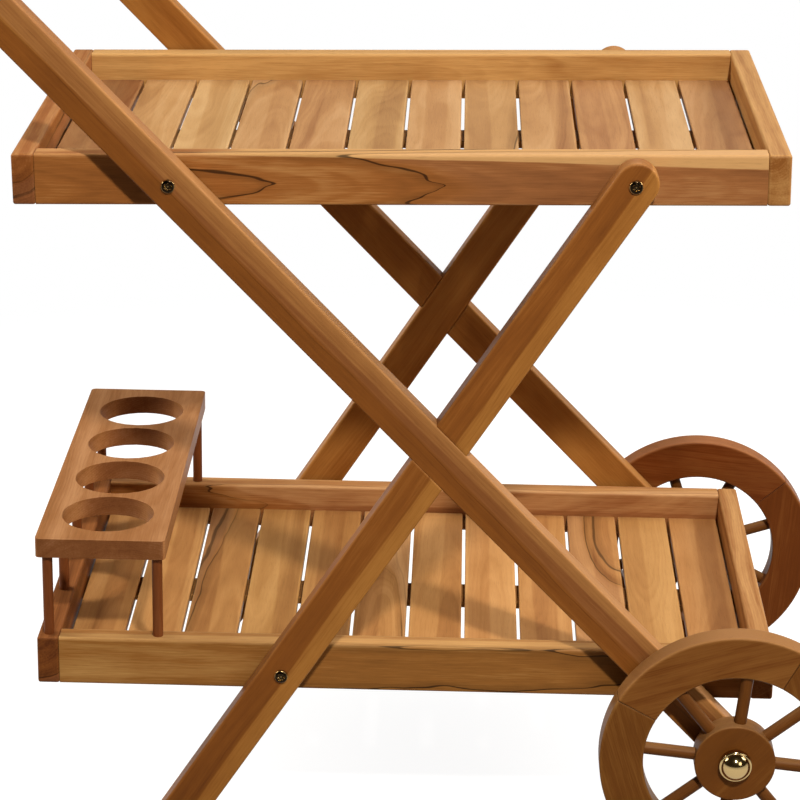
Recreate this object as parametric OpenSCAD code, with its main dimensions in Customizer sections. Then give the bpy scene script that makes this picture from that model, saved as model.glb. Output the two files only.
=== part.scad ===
// Wooden bar cart: two slatted trays on crossed legs, two spoked wheels and a bottle holder.
// Millimetres. X runs from the handle end to the wheel end, Y from front to back, Z up.
// The origin is on the floor, in the middle of the cart's plan.

/* [Trays] */
// Length of a tray, over its end boards
tray_len = 740; // [600:5:900]
// Depth of a tray, over its long rails
tray_depth = 450; // [360:5:560]
// Height of the rails and end boards
rail_h = 50; // [44:1:70]
// Thickness of the long rails
rail_t = 24; // [20:1:32]
// Thickness of the end boards
end_t = 22; // [18:1:30]
// Radius of the eased edges of rails and end boards
ease = 2.5; // [1:0.5:4]
// Height of the upper tray's top edge above the floor
table_h = 739; // [680:1:800]
// Height of the lower tray's top edge above the floor, at mid length
lower_h = 231; // [220:1:290]
// Shift of the lower tray towards the wheels
lower_shift = 2.3; // [-10:0.1:10]
// Slope of the lower tray, down towards the wheels, in degrees
lower_tilt = 1.05; // [0:0.05:2]

/* [Slats] */
// Number of slats in each tray
slat_count = 12; // [8:1:16]
// Thickness of a slat
slat_t = 10; // [8:0.5:12]
// Gap between slats
slat_gap = 3.5; // [2:0.5:8]
// Depth of the slats' upper face below the rails' top edge
slat_drop = 29; // [20:1:30]
// Depth of the groove that holds the slat ends
groove_d = 8; // [5:0.5:12]
// Room left for the slats at the groove's bottom and top
groove_room = 0.4; // [0.2:0.1:1]
// Radius of the eased long edges of the slats
slat_ease = 1.5; // [0.5:0.5:3]
// Width of the batten under the slats
batten_w = 45; // [30:1:60]
// Thickness of the batten
batten_t = 8; // [6:0.5:9]
// Depth of the batten's housings in the end boards
housing_d = 6; // [4:0.5:10]
// Diameter of the slat screws
screw_d = 3.5; // [3:0.1:4]
// Diameter of the slat screws' countersunk heads
screw_head_d = 7; // [6:0.1:8]
// Length of the slat screws
screw_len = 15; // [12:0.5:16]

/* [Tray corners] */
// Length of the tenons at the ends of the long rails
tenon_len = 12; // [8:0.5:15]
// Thickness of the tenons
tenon_t = 10; // [7:0.5:12]
// Height of the tenons
tenon_h = 34; // [24:1:38]
// Clearance of a tenon in its mortise, each way
tenon_fit = 0.1; // [0.05:0.05:0.3]

/* [Legs] */
// Width of the legs
leg_w = 42; // [36:1:50]
// Thickness of the legs
leg_t = 23; // [20:1:28]
// Gap between the legs and the trays, filled by a washer at each bolt
leg_gap = 3.5; // [2:0.5:6]
// Distance from mid tray to the upper bolts of the long legs
bolt_a_x = 218; // [180:1:250]
// Distance from mid tray to the upper bolts of the short legs
bolt_b_x = 222; // [180:1:250]
// Drop of the bolts below a tray's top edge
bolt_drop = 24; // [18:1:30]
// Length of the long legs above their upper bolts, to the handle
handle_reach = 250; // [200:5:300]
// Distance of the wheel axis above the middle line of the long legs
axle_side = 3.2; // [0:0.1:6]
// Slope of the short legs, in degrees
short_slope = 55.9; // [54:0.1:58]
// Distance from the short legs' bolts to the centre of their round ends
round_over = 2; // [0:0.5:5]
// Radius of the eased edges of the legs
leg_ease = 2; // [1:0.5:4]
// Clearance between the two halves of the crossing
lap_fit = 0.2; // [0.1:0.05:0.5]

/* [Handle] */
// Diameter of the handle bar
handle_d = 30; // [24:1:38]
// Diameter of the handle's round tenons
handle_tenon_d = 20; // [14:1:22]
// Length of the handle's round tenons
handle_tenon_len = 16; // [10:1:18]

/* [Tray bolts] */
// Diameter of the bolt shanks
bolt_d = 8; // [6:0.5:10]
// Clearance of the bolts in their holes, on the diameter
bolt_fit = 0.4; // [0.2:0.1:0.8]
// Diameter of the bolt heads
bolt_head_d = 13.4; // [12:0.2:18]
// Height of the bolt heads
bolt_head_h = 3.8; // [3.2:0.1:6]
// Diameter of the heads' flat tops, as a share of the head
bolt_top = 0.7; // [0.6:0.05:0.9]
// Width across flats of the hexagon socket in the heads
socket_w = 5; // [4:0.5:6]
// Depth of the hexagon socket
socket_depth = 2.4; // [1.5:0.1:3]
// Diameter of the washers
washer_d = 24; // [18:1:30]
// Diameter of the threaded inserts
insert_d = 12; // [11:0.5:14]
// Length of the threaded inserts
insert_len = 14; // [10:1:15]
// Clearance of the inserts in the rails, on the diameter
insert_fit = 0.1; // [0.05:0.05:0.3]
// Clearance of the bolts in the inserts, on the diameter
thread_fit = 0.2; // [0.1:0.1:0.4]

/* [Wheels] */
// Radius of the wheels
wheel_r = 134; // [110:1:150]
// Distance from mid tray to the wheel axis
wheel_x = 330; // [300:1:360]
// Radial width of the wheel rims
rim_w = 43.5; // [30:0.5:50]
// Thickness of the wheel rims
rim_t = 26; // [20:1:32]
// Radius of the eased edges of the rims
rim_ease = 2; // [1:0.5:4]
// Number of felloes in a rim
felloe_count = 4; // [4:1:8]
// Width of the seam between two felloes
felloe_seam = 0.4; // [0.2:0.1:1]
// Number of spokes
spoke_count = 8; // [6:2:12]
// Diameter of the spokes
spoke_d = 12.5; // [9:0.5:14]
// Depth of the spoke holes in rim and hub
spoke_hole = 14; // [10:1:18]
// Clearance of the spokes in their holes, on the diameter
spoke_fit = 0.1; // [0.05:0.05:0.3]
// Direction of the front wheel's first spoke, in degrees
front_spoke_dir = 38; // [-45:1:45]
// Direction of the back wheel's first spoke, in degrees
back_spoke_dir = 17; // [-45:1:45]
// Radius of the hubs
hub_r = 40.2; // [34:0.2:44]
// Length of the hubs
hub_t = 26; // [20:1:30]
// Radius of the eased edges of the hubs
hub_ease = 1.5; // [0.5:0.5:3]
// Distance from the hub's outer face to the rim's outer face
hub_proud = 3.5; // [1:0.5:5]
// Clearance between the bolt heads and the rims that pass them
rim_clear = 2.3; // [0.5:0.1:3]

/* [Axles] */
// Diameter of the axle bolts
axle_d = 12; // [10:0.5:14]
// Radial clearance of the axle bolts in the hubs
axle_fit = 0.05; // [0.03:0.01:0.1]
// Gap that lets a hub turn beside its spacer and its cap
run_gap = 0.3; // [0.2:0.1:0.5]
// Diameter of the axle bolts' heads
axle_head_d = 24; // [20:1:30]
// Thickness of the axle bolts' heads
axle_head_h = 4; // [3:0.5:6]
// Diameter of the spacer between leg and hub
spacer_d = 26; // [22:1:32]
// Diameter of the brass caps
cap_d = 32.5; // [31:0.5:38]
// Height of the caps' straight skirts, with their bevels
cap_skirt = 7; // [4:0.5:10]
// Bevel at the top of the skirts
cap_bevel = 1; // [0.5:0.1:1.5]
// Diameter of the caps' domes
dome_d = 29; // [22:0.5:30]
// Height of the caps' domes
dome_h = 9.5; // [6:0.5:12]

/* [Bottle holder] */
// Width of the bottle board
board_w = 130; // [120:1:150]
// Gap from the board's ends to the tray's long sides
board_inset = 2; // [0:0.5:10]
// Thickness of the bottle board
board_t = 20; // [16:1:26]
// Radius of the board's corners
board_corner = 5; // [2:0.5:10]
// Free height between the lower tray's top edge and the board
board_lift = 86; // [60:1:110]
// Number of bottle holes
bottle_count = 4; // [2:1:4]
// Diameter of the bottle holes
bottle_hole_d = 93; // [80:1:94]
// Distance between the centres of the bottle holes
bottle_pitch = 102; // [98:1:108]
// Diameter of the posts
post_d = 10.5; // [8:0.5:14]
// Depth of the post holes in tray and board
post_hole = 12; // [8:1:15]
// Clearance of the posts in their holes, on the diameter
post_fit = 0.1; // [0.05:0.05:0.3]
// Distance from the board's inner edge to the posts on that side
post_inset = 9; // [8:0.5:16]

/* [Hidden] */
$fn = 64;
// Extra length that carries a cut past a face
past = 1;

// Depths from front to back
rail_y = tray_depth / 2;
leg_in_y = rail_y + leg_gap;
leg_out_y = leg_in_y + leg_t;
leg_mid_y = leg_in_y + leg_t / 2;
rim_in_y = leg_out_y + bolt_head_h + rim_clear;
rim_out_y = rim_in_y + rim_t;
hub_out_y = rim_out_y + hub_proud;
hub_in_y = hub_out_y - hub_t;
spoke_y = (hub_in_y + hub_out_y) / 2;
cap_in_y = hub_out_y + run_gap;

// Slope of the long legs, and their length from the upper bolt to the wheel axis
axle_from_bolt = [wheel_x + bolt_a_x, table_h - bolt_drop - wheel_r];
axle_reach = norm(axle_from_bolt);
long_slope = atan2(axle_from_bolt[1], axle_from_bolt[0]) + asin(axle_side / axle_reach);
long_run = axle_reach * cos(asin(axle_side / axle_reach));

// Lengths, first from mid tray and then from the middle of the plan
wheel_end = wheel_x + wheel_r;
handle_end = -bolt_a_x - handle_reach * cos(long_slope) - leg_w / 2;
tray_x = -(wheel_end + handle_end) / 2;
axle_x = tray_x + wheel_x;
bolt_a = [tray_x - bolt_a_x, table_h - bolt_drop];
bolt_b = [tray_x + bolt_b_x, table_h - bolt_drop];
lower_pos = [tray_x + lower_shift, lower_h];

// Directions down the long and the short legs, in X and Z
dir_a = [cos(long_slope), -sin(long_slope)];
dir_b = [-cos(short_slope), -sin(short_slope)];
short_run = (table_h - bolt_drop) / sin(short_slope);

// A point in X and Z, as seen from the sloping lower tray
function in_lower(p) = [
    (p[0] - lower_pos[0]) * cos(lower_tilt) - (p[1] - lower_pos[1]) * sin(lower_tilt),
    (p[0] - lower_pos[0]) * sin(lower_tilt) + (p[1] - lower_pos[1]) * cos(lower_tilt)];

// Distance down a leg from its upper bolt to the bolt line of the lower tray
function lower_run(start, dir) =
    (-bolt_drop - in_lower(start)[1]) / (dir[0] * sin(lower_tilt) + dir[1] * cos(lower_tilt));
run_a = lower_run(bolt_a, dir_a);
run_b = lower_run(bolt_b, dir_b);
low_bolt_a = bolt_a + run_a * dir_a;
low_bolt_b = bolt_b + run_b * dir_b;

// Each bolt's place in X and Z, and its place along its own tray's rail
bolt_places = [bolt_a, bolt_b, low_bolt_a, low_bolt_b];
upper_bolts = [-bolt_a_x, bolt_b_x];
lower_bolts = [in_lower(low_bolt_a)[0], in_lower(low_bolt_b)[0]];

// Slats
inner_len = tray_len - 2 * end_t;
slat_pitch = inner_len / slat_count;
slat_w = slat_pitch - slat_gap;
slat_len = tray_depth - 2 * rail_t + 2 * groove_d - 2 * groove_room;
slat_z = -slat_drop - slat_t;

// Bottle holder, in the lower tray's own place
board_x = -tray_len / 2;
board_len = tray_depth - 2 * board_inset;
post_row_x = board_x + end_t / 2;
post_pair_x = board_x + board_w - post_inset;
post_end_y = rail_y - rail_t / 2;
bottle_x = board_x + board_w / 2;
bottle_y0 = -bottle_pitch * (bottle_count - 1) / 2;
post_mid_y = [for (i = [1:1:bottle_count - 1]) bottle_y0 + bottle_pitch * (i - 0.5)];
post_row_y = concat([-post_end_y], post_mid_y, [post_end_y]);
post_row = [for (y = post_row_y) [post_row_x, y]];
post_pair = [[post_pair_x, -post_end_y], [post_pair_x, post_end_y]];
posts = concat(post_row, post_pair);

// Radius of the ball that a cap's dome is a slice of
dome_ball = (dome_d * dome_d / 4 + dome_h * dome_h) / (2 * dome_h);

// Colours
rail_colour = "#95602f";
end_colour = "#8a5430";
slat_colour = "#c0905f";
leg_colour = "#8f5526";
wheel_colour = "#7d4a26";
board_colour = "#7f4a26";
post_colour = "#6a3a20";
steel_colour = "#3a2e26";
brass_colour = "#c9a45c";

// Names of a tray's slats, counted from the handle end
function slat_names(tray) = [for (i = [1:1:slat_count]) str(tray, "_slat_", i)];

// A rectangle in X and Y with round corners, its middle at the origin
module soft_square(size, r) {
    square([size[0] - 2 * r, size[1]], center = true);
    square([size[0], size[1] - 2 * r], center = true);
    for (x = [-1, 1], y = [-1, 1])
        translate([x * (size[0] / 2 - r), y * (size[1] / 2 - r)]) circle(r);
}

// A bar along X with eased long edges, its middle at the origin
module bar_x(len, depth, height, r)
    rotate([90, 0, 90]) linear_extrude(len, center = true) soft_square([depth, height], r);

// A bar along Y with eased long edges, its middle at the origin
module bar_y(width, len, height, r)
    rotate([90, 0, 0]) linear_extrude(len, center = true) soft_square([width, height], r);

// A cylinder along Y from y0 to y1, at a place in X and Z
module rod_y(place, d, y0, y1)
    translate([place[0], y0, place[1]]) rotate([-90, 0, 0]) cylinder(h = y1 - y0, d = d);

module in_upper_tray() translate([tray_x, 0, table_h]) children();

module in_lower_tray()
    translate([lower_pos[0], 0, lower_pos[1]]) rotate([0, lower_tilt, 0]) children();

// The front piece as it is, or its mirror image for the back
module on_side(side) if (side < 0) children(); else mirror([0, 1, 0]) children();

// Long rail of a tray, with the slats' groove, end tenons and insert holes
module rail(side, insert_xs)
    on_side(side) translate([0, -rail_y + rail_t / 2, 0]) difference() {
        union() {
            translate([0, 0, -rail_h / 2]) bar_x(inner_len, rail_t, rail_h, ease);
            translate([0, 0, -rail_h / 2])
                cube([inner_len + 2 * tenon_len, tenon_t, tenon_h], center = true);
        }
        translate([-inner_len / 2 - past, rail_t / 2 - groove_d, slat_z])
            cube([inner_len + 2 * past, groove_d + past, slat_t + groove_room]);
        for (x = insert_xs)
            rod_y([x, -bolt_drop], insert_d + insert_fit, -rail_t / 2 - past, -rail_t / 2 + insert_len);
    }

// End board of a tray, with mortises for the tenons and a housing for the batten
module end_board(side)
    difference() {
        translate([side * (tray_len - end_t) / 2, 0, -rail_h / 2]) bar_y(end_t, tray_depth, rail_h, ease);
        for (y = [-1, 1])
            translate([side * inner_len / 2, y * (rail_y - rail_t / 2), -rail_h / 2])
                cube([2 * (tenon_len + groove_room), tenon_t + 2 * tenon_fit, tenon_h + 2 * tenon_fit],
                     center = true);
        translate([side * inner_len / 2, 0, slat_z - batten_t / 2])
            cube([2 * (housing_d + groove_room), batten_w + 2 * tenon_fit, batten_t + 2 * tenon_fit],
                 center = true);
    }

function slat_x(i) = -inner_len / 2 + slat_pitch * (i + 0.5);

// Slat number i, counted from the handle end, with its screw hole from below
module slat(i)
    translate([slat_x(i), 0, slat_z]) difference() {
        translate([0, 0, slat_t / 2]) bar_y(slat_w, slat_len, slat_t, slat_ease);
        translate([0, 0, -past])
            cylinder(h = screw_len - batten_t + groove_room + past, d = screw_d + bolt_fit);
    }

module batten()
    difference() {
        translate([0, 0, slat_z - batten_t / 2])
            cube([inner_len + 2 * housing_d, batten_w, batten_t], center = true);
        for (i = [0:1:slat_count - 1])
            translate([slat_x(i), 0, slat_z - batten_t]) {
                translate([0, 0, -past]) cylinder(h = batten_t + 2 * past, d = screw_d + bolt_fit);
                cylinder(h = screw_head_d / 2, d1 = screw_head_d + bolt_fit, d2 = bolt_fit);
            }
    }

module screws()
    for (i = [0:1:slat_count - 1])
        translate([slat_x(i), 0, slat_z - batten_t]) {
            cylinder(h = screw_len, d = screw_d);
            cylinder(h = (screw_head_d - screw_d) / 2, d1 = screw_head_d, d2 = screw_d);
        }

// Puts a piece that lies along +X at the upper bolt of a long or a short leg, running down the leg
module down_long() translate([bolt_a[0], 0, bolt_a[1]]) rotate([0, long_slope, 0]) children();

module down_short() translate([bolt_b[0], 0, bolt_b[1]]) rotate([0, 180 - short_slope, 0]) children();

// Straight stock along X, in the front legs' place from front to back
module leg_stock(x0, x1)
    translate([(x0 + x1) / 2, -leg_mid_y, 0]) bar_x(x1 - x0, leg_t, leg_w, leg_ease);

// Round end of a leg at x, a disc with eased edges
module leg_end(x)
    translate([x, -leg_mid_y, 0]) rotate([90, 0, 0]) rotate_extrude() intersection() {
        soft_square([leg_w, leg_t], leg_ease);
        translate([0, -leg_t / 2]) square([leg_w / 2, leg_t]);
    }

// One half of the crossing, cut from a leg where the other leg passes
module lap_cut(x0, x1, y0, y1)
    translate([x0, y0, -leg_w / 2 - lap_fit / 2]) cube([x1 - x0, y1 - y0, leg_w + lap_fit]);

// Long leg, from the handle to the wheel, whole on its outer face at the crossing
module long_leg(side)
    color(leg_colour) on_side(side) difference() {
        down_long() {
            leg_stock(-handle_reach, long_run);
            leg_end(-handle_reach);
            leg_end(long_run);
        }
        down_long() {
            rod_y([-handle_reach, 0], handle_tenon_d + 2 * tenon_fit,
                  -leg_in_y - handle_tenon_len - groove_room, -leg_in_y + past);
            for (x = [0, run_a]) rod_y([x, 0], bolt_d + bolt_fit, -leg_out_y - past, -leg_in_y + past);
            rod_y([long_run, axle_side], axle_d + 2 * axle_fit, -leg_out_y - past, -leg_in_y + past);
        }
        down_short() lap_cut(0, short_run, -leg_out_y + leg_t / 2, -leg_in_y + past);
    }

// Short leg, from the upper tray to the floor, whole on its inner face at the crossing
module short_leg(side)
    color(leg_colour) on_side(side) difference() {
        down_short() {
            leg_stock(-round_over, short_run + leg_w);
            leg_end(-round_over);
        }
        down_short()
            for (x = [0, run_b]) rod_y([x, 0], bolt_d + bolt_fit, -leg_out_y - past, -leg_in_y + past);
        down_long() lap_cut(0, long_run, -leg_out_y - past, -leg_in_y - leg_t / 2);
        translate([bolt_b[0] - 2 * table_h, -leg_out_y - past, -2 * leg_w])
            cube([2 * table_h, leg_t + 2 * past, 2 * leg_w]);
    }

module handle_bar() {
    place = bolt_a - handle_reach * dir_a;
    color(leg_colour) {
        rod_y(place, handle_d, -leg_in_y, leg_in_y);
        rod_y(place, handle_tenon_d, -leg_in_y - handle_tenon_len, leg_in_y + handle_tenon_len);
    }
}

// Bolt in the front place, with a round head and a hexagon socket
module tray_bolt(place)
    difference() {
        union() {
            rod_y(place, bolt_d, -leg_out_y, -rail_y + insert_len - groove_room);
            translate([place[0], -leg_out_y, place[1]]) rotate([90, 0, 0]) {
                cylinder(h = bolt_head_h / 2, d = bolt_head_d);
                translate([0, 0, bolt_head_h / 2])
                    cylinder(h = bolt_head_h / 2, d1 = bolt_head_d, d2 = bolt_head_d * bolt_top);
            }
        }
        translate([place[0], -leg_out_y - bolt_head_h - past, place[1]]) rotate([-90, 0, 0])
            cylinder(h = socket_depth + past, d = socket_w / cos(30), $fn = 6);
    }

module tray_bolts()
    color(steel_colour) for (side = [-1, 1], place = bolt_places) on_side(side) tray_bolt(place);

module tray_washers()
    color(steel_colour) for (side = [-1, 1], place = bolt_places) on_side(side) difference() {
        rod_y(place, washer_d, -leg_in_y, -rail_y);
        rod_y(place, bolt_d + bolt_fit, -leg_in_y - past, -rail_y + past);
    }

module tray_inserts()
    color(brass_colour) for (side = [-1, 1], place = bolt_places) on_side(side) difference() {
        rod_y(place, insert_d, -rail_y, -rail_y + insert_len);
        rod_y(place, bolt_d + thread_fit, -rail_y - past, -rail_y + insert_len + past);
    }

// Flat board with the bottle holes and, from below, the post holes
module bottle_board()
    color(board_colour) in_lower_tray() translate([0, 0, board_lift]) difference() {
        translate([bottle_x, 0, 0]) linear_extrude(board_t) soft_square([board_w, board_len], board_corner);
        for (i = [0:1:bottle_count - 1])
            translate([bottle_x, bottle_y0 + bottle_pitch * i, -past])
                cylinder(h = board_t + 2 * past, d = bottle_hole_d);
        for (p = posts)
            translate([p[0], p[1], -past]) cylinder(h = post_hole + past, d = post_d + post_fit);
    }

module bottle_posts()
    color(post_colour) in_lower_tray() for (p = posts)
        translate([p[0], p[1], groove_room - post_hole])
            cylinder(h = board_lift + 2 * (post_hole - groove_room), d = post_d);

// Holes that the posts need in the lower tray
module post_holes()
    for (p = posts)
        translate([p[0], p[1], -post_hole]) cylinder(h = post_hole + past, d = post_d + post_fit);

module upper_rail(side) color(rail_colour) in_upper_tray() rail(side, upper_bolts);

module upper_end(side) color(end_colour) in_upper_tray() end_board(side);

module upper_batten() color(rail_colour) in_upper_tray() batten();

module upper_slat(i) color(slat_colour) in_upper_tray() slat(i);

module upper_screws() color(steel_colour) in_upper_tray() screws();

module lower_rail(side)
    color(rail_colour) in_lower_tray() difference() {
        rail(side, lower_bolts);
        post_holes();
    }

module lower_end(side)
    color(end_colour) in_lower_tray() difference() {
        end_board(side);
        post_holes();
    }

module lower_batten() color(rail_colour) in_lower_tray() batten();

module lower_slat(i) color(slat_colour) in_lower_tray() slat(i);

module lower_screws() color(steel_colour) in_lower_tray() screws();

// Puts a wheel piece, made about Z with its outer face up, on the front or back axle
module on_axle(side)
    on_side(side) translate([axle_x, 0, wheel_r]) rotate([90, 0, 0]) children();

// Direction of spoke k, as it is seen from the wheel's outer face
function spoke_dir(first, k) = first + 360 * k / spoke_count;

module spoke_holes(first)
    for (k = [0:1:spoke_count - 1])
        rotate([0, 0, spoke_dir(first, k)]) translate([hub_r - spoke_hole, 0, spoke_y]) rotate([0, 90, 0])
            cylinder(h = wheel_r - rim_w - hub_r + 2 * spoke_hole, d = spoke_d + spoke_fit);

// Rim of separate felloes, each with its share of the spoke holes
module rim(side, first)
    color(wheel_colour) on_axle(side) for (k = [0:1:felloe_count - 1]) difference() {
        rotate([0, 0, spoke_dir(first, 0.5) + 360 * k / felloe_count]) difference() {
            rotate_extrude(angle = 360 / felloe_count)
                translate([wheel_r - rim_w / 2, rim_in_y + rim_t / 2])
                    soft_square([rim_w, rim_t], rim_ease);
            translate([0, -past, rim_in_y - past])
                cube([wheel_r + past, felloe_seam + past, rim_t + 2 * past]);
        }
        spoke_holes(first);
    }

module hub(side, first)
    color(wheel_colour) on_axle(side) difference() {
        translate([0, 0, hub_in_y + hub_t / 2]) rotate_extrude() intersection() {
            soft_square([2 * hub_r, hub_t], hub_ease);
            translate([0, -hub_t / 2]) square([hub_r, hub_t]);
        }
        translate([0, 0, hub_in_y - past]) cylinder(h = hub_t + 2 * past, r = axle_d / 2 + axle_fit);
        spoke_holes(first);
    }

module spokes(side, first)
    color(wheel_colour) on_axle(side) for (k = [0:1:spoke_count - 1])
        rotate([0, 0, spoke_dir(first, k)]) translate([hub_r - spoke_hole + groove_room, 0, spoke_y])
            rotate([0, 90, 0])
                cylinder(h = wheel_r - rim_w - hub_r + 2 * (spoke_hole - groove_room), d = spoke_d);

// Axle bolt, from its head inside the leg to its end inside the cap
module axle(side)
    color(steel_colour) on_axle(side) {
        translate([0, 0, leg_in_y]) cylinder(h = cap_in_y + cap_skirt - leg_in_y, d = axle_d);
        translate([0, 0, leg_in_y - axle_head_h]) cylinder(h = axle_head_h, d = axle_head_d);
    }

module spacer(side)
    color(steel_colour) on_axle(side) difference() {
        translate([0, 0, leg_out_y]) cylinder(h = hub_in_y - run_gap - leg_out_y, d = spacer_d);
        translate([0, 0, leg_out_y - past])
            cylinder(h = hub_in_y - leg_out_y + 2 * past, d = axle_d + 2 * axle_fit);
    }

// Brass cap with a straight bevelled skirt and a dome, pushed on to the axle's end
module cap(side)
    color(brass_colour) on_axle(side) translate([0, 0, cap_in_y]) difference() {
        union() {
            cylinder(h = cap_skirt - cap_bevel, d = cap_d);
            translate([0, 0, cap_skirt - cap_bevel])
                cylinder(h = cap_bevel, d1 = cap_d, d2 = cap_d - 2 * cap_bevel);
            translate([0, 0, cap_skirt]) rotate_extrude() intersection() {
                translate([0, dome_h - dome_ball]) circle(dome_ball);
                square([dome_d, dome_h]);
            }
        }
        translate([0, 0, -past]) cylinder(h = cap_skirt + past, d = axle_d + 2 * axle_fit);
    }

upper_rail(-1);  // upper_rail_front
upper_rail(1);  // upper_rail_back
upper_end(-1);  // upper_end_left
upper_end(1);  // upper_end_right
upper_batten();
upper_screws();
lower_rail(-1);  // lower_rail_front
lower_rail(1);  // lower_rail_back
lower_end(-1);  // lower_end_left
lower_end(1);  // lower_end_right
lower_batten();
lower_screws();
for (i = [0:1:slat_count - 1]) {
    upper_slat(i);
    lower_slat(i);
}
long_leg(-1);  // long_leg_front
long_leg(1);  // long_leg_back
short_leg(-1);  // short_leg_front
short_leg(1);  // short_leg_back
handle_bar();
tray_bolts();
tray_washers();
tray_inserts();
bottle_board();
bottle_posts();
rim(-1, front_spoke_dir);  // front_rim
hub(-1, front_spoke_dir);  // front_hub
spokes(-1, front_spoke_dir);  // front_spokes
rim(1, back_spoke_dir);  // back_rim
hub(1, back_spoke_dir);  // back_hub
spokes(1, back_spoke_dir);  // back_spokes
axle(-1);  // front_axle
axle(1);  // back_axle
spacer(-1);  // front_spacer
spacer(1);  // back_spacer
cap(-1);  // front_cap
cap(1);  // back_cap
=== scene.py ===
# Wooden bar cart: two slatted trays between crossed legs, a bottle board on posts and two spoked wheels.
# The wooden pieces, the bolts and the brass caps are worked out here; the other nodes keep their own mesh
# and get a new finish.
import bpy
import math
import numpy as np
from mathutils import Matrix, Vector


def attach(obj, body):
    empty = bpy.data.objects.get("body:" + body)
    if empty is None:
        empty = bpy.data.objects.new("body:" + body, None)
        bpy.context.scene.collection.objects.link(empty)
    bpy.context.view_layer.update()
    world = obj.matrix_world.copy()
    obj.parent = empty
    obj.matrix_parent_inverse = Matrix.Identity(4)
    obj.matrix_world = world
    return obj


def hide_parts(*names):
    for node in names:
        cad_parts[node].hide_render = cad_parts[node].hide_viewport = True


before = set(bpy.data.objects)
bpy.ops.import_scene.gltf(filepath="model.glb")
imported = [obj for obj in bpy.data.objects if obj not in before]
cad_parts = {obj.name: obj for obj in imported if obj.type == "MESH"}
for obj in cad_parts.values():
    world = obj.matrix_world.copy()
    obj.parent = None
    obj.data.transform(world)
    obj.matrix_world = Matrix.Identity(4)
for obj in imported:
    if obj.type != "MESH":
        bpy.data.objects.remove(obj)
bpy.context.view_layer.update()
print("frame loaded", len(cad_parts), "nodes")

mm = 0.001
xAxis, yAxis, zAxis = np.eye(3)
lead = 1.2 * mm  # a short straight beside every rounding, so that the flats stay flat in the shading
easedBelow = 5 * mm  # rounder corners belong to the shape itself and wear no edge
cutEase = 0.3 * mm  # a crisply cut end
nearlyRound = 0.999  # a corner radius stays just under half a side


def softOutline(corners, inset, steps):
    # Walks round a convex outline, anticlockwise. Each corner moves in along its bisector by the inset
    # and keeps what is left of its radius; a short straight lead stands on both sides of every arc.
    c = np.asarray(corners, float)
    inset = np.atleast_1d(np.asarray(inset, float))
    p, radius = c[:, :2], c[:, 2]
    toPrev = np.roll(p, 1, 0) - p
    toNext = np.roll(p, -1, 0) - p
    prevLen = np.linalg.norm(toPrev, axis=1)
    nextLen = np.linalg.norm(toNext, axis=1)
    e1, e2 = toPrev / prevLen[:, None], toNext / nextLen[:, None]
    bisector = e1 + e2
    bisector = bisector / np.linalg.norm(bisector, axis=1)[:, None]
    half = np.arccos(np.clip((e1 * bisector).sum(1), -1, 1))
    sine, tangent = np.sin(half), np.tan(half)
    r = np.maximum(radius[None] - inset[:, None], 1e-5)
    moved = p[None] + bisector[None] * (inset[:, None] / sine)[..., None]
    centre = moved + bisector[None] * (r / sine)[..., None]
    t1 = moved + e1[None] * (r / tangent)[..., None]
    t2 = moved + e2[None] * (r / tangent)[..., None]
    freeNext = nextLen - radius / tangent - np.roll(radius / tangent, -1)
    leadNext = np.clip(freeNext * 0.25, 1e-6, lead)
    leadPrev = np.roll(leadNext, 1)
    turn = (math.pi - 2 * half)[None, :, None, None]
    k = np.linspace(0, 1, steps + 1)[None, None, :, None]
    arc = centre[:, :, None] + (np.sin((1 - k) * turn) * (t1 - centre)[:, :, None]
                                + np.sin(k * turn) * (t2 - centre)[:, :, None]) / np.sin(turn)
    before = t1 + e1[None] * leadPrev[None, :, None]
    after = t2 + e2[None] * leadNext[None, :, None]
    ring = np.concatenate([before[:, :, None], arc, after[:, :, None]], 2)
    onArc = np.zeros((len(c), steps + 3))
    onArc[radius < easedBelow, 1:-1] = 1
    return ring.reshape(len(inset), -1, 2), onArc.ravel()


def easedStations(length, easeStart, easeEnd, steps=3):
    # Distance along the path and inset at each station: a quarter round at every eased end.
    # An end without ease is cut square.
    a = np.linspace(0, math.pi / 2, steps + 1)

    def roundEnd(ease):
        if not ease:
            return np.zeros(1), np.zeros(1)
        return (np.r_[0, ease * (1 - np.cos(a)), ease + lead],
                np.r_[ease + lead, ease * (1 - np.sin(a)), 0])

    s0, i0 = roundEnd(easeStart)
    s1, i1 = roundEnd(easeEnd)
    return np.r_[s0, length - s1[::-1]], np.r_[i0, i1[::-1]]


def tubeFaces(rings, sides, closed=False):
    # Point u of ring v joins the next point of its ring and the same two points of the ring after it. An
    # open tube gets a cap at both ends.
    v, u = np.meshgrid(np.arange(rings if closed else rings - 1), np.arange(sides), indexing="ij")
    w, x = (u + 1) % sides, (v + 1) % rings
    quads = np.stack([v * sides + u, v * sides + w, x * sides + w, x * sides + u], -1).reshape(-1, 4)
    caps = [] if closed else [np.arange(sides)[::-1], (rings - 1) * sides + np.arange(sides)]
    return quads, caps


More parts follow.
